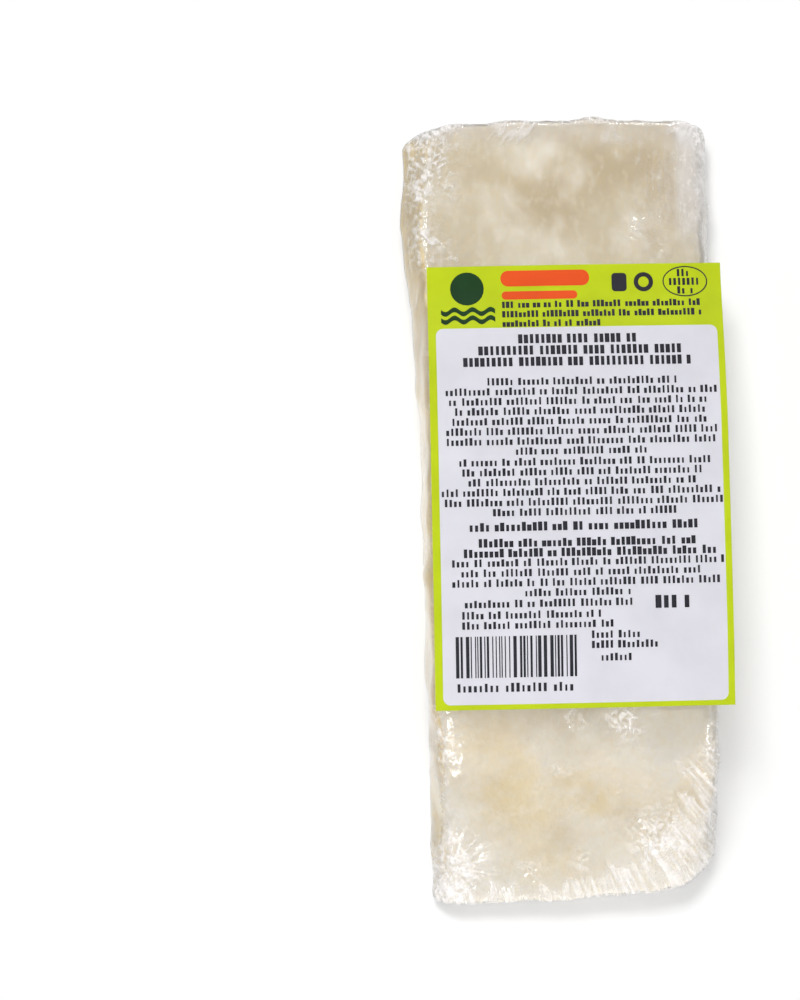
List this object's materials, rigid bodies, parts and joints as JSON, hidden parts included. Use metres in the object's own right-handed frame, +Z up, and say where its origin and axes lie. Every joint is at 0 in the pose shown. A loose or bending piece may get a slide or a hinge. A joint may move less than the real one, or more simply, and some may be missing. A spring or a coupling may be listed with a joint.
{
  "type": "frozen cod loin in shrink film",
  "caption": "Thick portion of soaked salt cod, deep-frozen and sealed in clear shrink film, lying flat with a paper label stuck on its top.",
  "frame": {"origin": "centre of the bounding box's base, on the surface the pack lies on", "axes": "+Y along the loin towards its thin end, +X across it away from the sawn side, +Z up through the label"},
  "size_m": [0.074, 0.1814, 0.0435],
  "materials": {
    "film_over_cod": "clear wrinkled shrink film over frosted cream-coloured fish",
    "label_paper": "smooth printed paper: light grey-white panel in a bright yellow-green frame"
  },
  "bodies": {
    "root": {"wrapped_cod": "film_over_cod", "label": "label_paper"}
  },
  "joints": []
}
